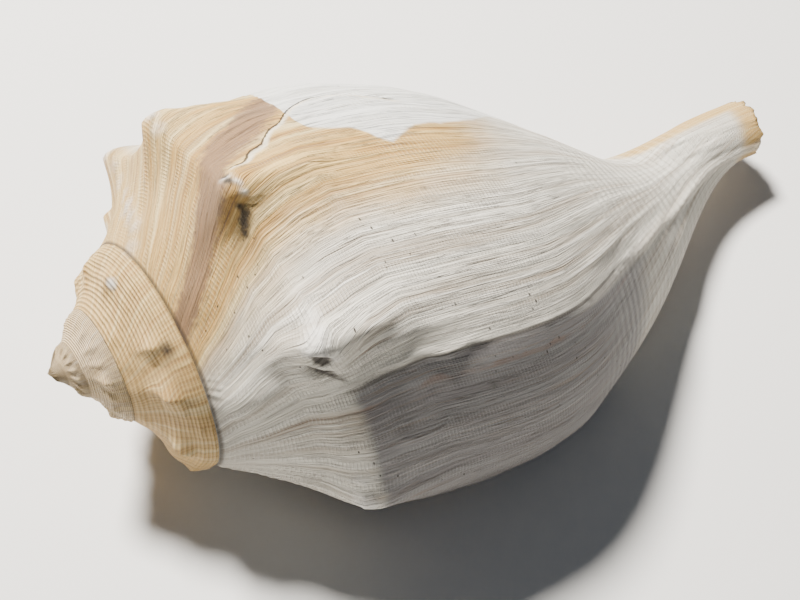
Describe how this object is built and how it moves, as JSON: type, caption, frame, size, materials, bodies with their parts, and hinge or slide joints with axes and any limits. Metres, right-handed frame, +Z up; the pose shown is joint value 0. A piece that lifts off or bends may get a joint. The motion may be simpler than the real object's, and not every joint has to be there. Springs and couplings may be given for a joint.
{
  "type": "fossil whelk shell",
  "caption": "Fossil knobbed whelk shell, a low spire on a knobbed body that narrows to an open canal, lying on its aperture.",
  "frame": {"origin": "middle of the bounding box on the surface that the shell lies on", "axes": "+X along the shell to the tip of the canal, +Z up, the lip on the -Y side"},
  "size_m": [0.179, 0.092, 0.0826],
  "materials": {
    "shell": "chalky cream to orange-tan fossil shell"
  },
  "bodies": {
    "root": {"shell": "shell"}
  },
  "joints": []
}
